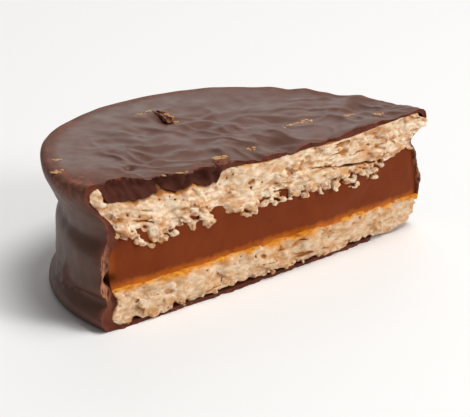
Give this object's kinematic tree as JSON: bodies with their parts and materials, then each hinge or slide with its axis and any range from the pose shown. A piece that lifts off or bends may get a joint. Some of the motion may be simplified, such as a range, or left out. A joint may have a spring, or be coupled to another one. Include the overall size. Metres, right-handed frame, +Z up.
{
  "type": "half alfajor cookie",
  "caption": "Broken half of a round chocolate-coated alfajor: soft biscuit, thick milk caramel and soft biscuit in a thin rippled chocolate skin, with the layers open along the break.",
  "frame": {"origin": "centre of the bounding box, on the underside that the half rests on", "axes": "+X runs along the break, +Z points up through the layers, and the broken face looks towards -Y with the round side towards +Y"},
  "size_m": [0.0646, 0.0326, 0.021],
  "materials": {
    "chocolate": "satin dark chocolate",
    "biscuit": "matte open crumb",
    "caramel": "satin milk caramel"
  },
  "bodies": {
    "root": {"chocolate_coating": "chocolate", "upper_biscuit": "biscuit", "caramel_filling": "caramel", "lower_biscuit": "biscuit"}
  },
  "joints": []
}
